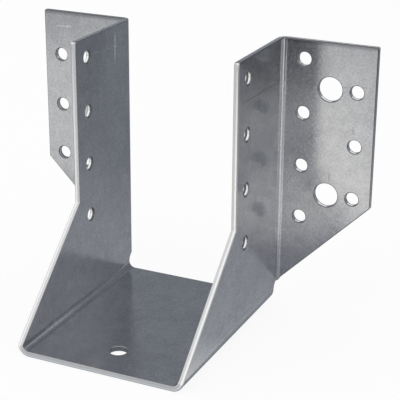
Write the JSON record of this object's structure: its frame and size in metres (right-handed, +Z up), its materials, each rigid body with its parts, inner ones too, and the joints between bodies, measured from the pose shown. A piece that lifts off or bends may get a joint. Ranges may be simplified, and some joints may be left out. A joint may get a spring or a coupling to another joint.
{
  "type": "joist hanger",
  "caption": "U-shaped folded steel joist hanger with outward flanges: the joist's end sits on the seat between two nailed side plates, and the flanges are nailed or bolted to the header.",
  "frame": {"origin": "on the ground, below the middle of the hanger's width and depth", "axes": "+X across the joist, +Y along the joist towards the header, +Z up"},
  "size_m": [0.134, 0.084, 0.102],
  "materials": {
    "galvanised_steel": "zinc-coated sheet, satin, with a fine mottled grain and bright sheared edges"
  },
  "bodies": {
    "root": {"joist_hanger": "galvanised_steel"}
  },
  "joints": []
}
